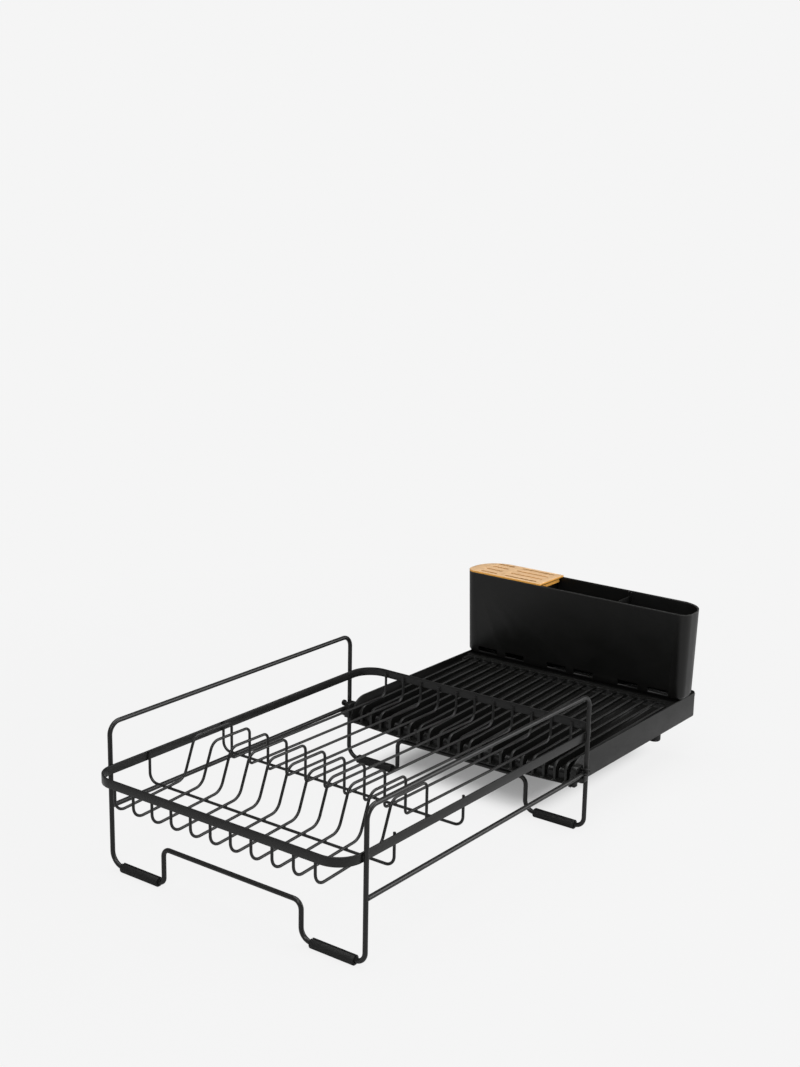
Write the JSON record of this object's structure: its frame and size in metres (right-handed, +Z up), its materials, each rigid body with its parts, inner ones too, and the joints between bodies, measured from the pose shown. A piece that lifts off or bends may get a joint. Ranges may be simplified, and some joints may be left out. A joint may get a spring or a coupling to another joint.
{
  "type": "dish drying rack",
  "caption": "Wire dish drying rack on a bent wire frame, with a sliding drip tray that carries a cutlery caddy with a slotted bamboo lid.",
  "frame": {"origin": "on the worktop, under the middle of the overall length and width, with the drip tray pulled out as at rest", "axes": "+X to the right seen from the basket end, +Y from the basket towards the drip tray and caddy, +Z up"},
  "size_m": [0.3432, 0.7045, 0.1948],
  "materials": {
    "coated_steel": "satin black powder coat",
    "matte_black_plastic": "fine matte black moulding",
    "black_rubber": "dull black rubber",
    "bamboo": "sanded, clear satin lacquer"
  },
  "bodies": {
    "rack": {"left_guard_wire": "coated_steel", "right_guard_wire": "coated_steel", "front_bridge_wire": "coated_steel", "rear_bridge_wire": "coated_steel", "left_slide_rod": "coated_steel", "right_slide_rod": "coated_steel", "basket_rim": "coated_steel", "dish_wire_1": "coated_steel", "dish_wire_2": "coated_steel", "dish_wire_3": "coated_steel", "dish_wire_4": "coated_steel", "dish_wire_5": "coated_steel", "dish_wire_6": "coated_steel", "dish_wire_7": "coated_steel", "dish_wire_8": "coated_steel", "dish_wire_9": "coated_steel", "dish_wire_10": "coated_steel", "dish_wire_11": "coated_steel", "front_cross_wire": "coated_steel", "middle_cross_wire": "coated_steel", "front_left_foot_sleeve": "black_rubber", "front_right_foot_sleeve": "black_rubber", "rear_left_foot_sleeve": "black_rubber", "rear_right_foot_sleeve": "black_rubber"},
    "tray": {"drip_tray": "matte_black_plastic", "left_rail_guide": "matte_black_plastic", "right_rail_guide": "matte_black_plastic", "left_guide_stud": "matte_black_plastic", "right_guide_stud": "matte_black_plastic", "left_tray_foot": "black_rubber", "right_tray_foot": "black_rubber"},
    "caddy": {"utensil_caddy": "matte_black_plastic", "left_divider": "matte_black_plastic"},
    "lid": {"bamboo_lid": "bamboo"},
    "divider": {"right_divider": "matte_black_plastic"}
  },
  "joints": [
    {"name": "tray_slide", "type": "slide", "parent": "rack", "child": "tray", "axis": [0, -1, 0], "range_m": [0, 0.2]},
    {"name": "caddy_lift", "type": "slide", "parent": "tray", "child": "caddy", "axis": [0, 0, 1], "range_m": [0, 0.12]},
    {"name": "lid_lift", "type": "slide", "parent": "caddy", "child": "lid", "axis": [0, 0, 1], "range_m": [0, 0.05]},
    {"name": "right_divider_lift", "type": "slide", "parent": "caddy", "child": "divider", "axis": [0, 0, 1], "range_m": [0, 0.115]}
  ]
}
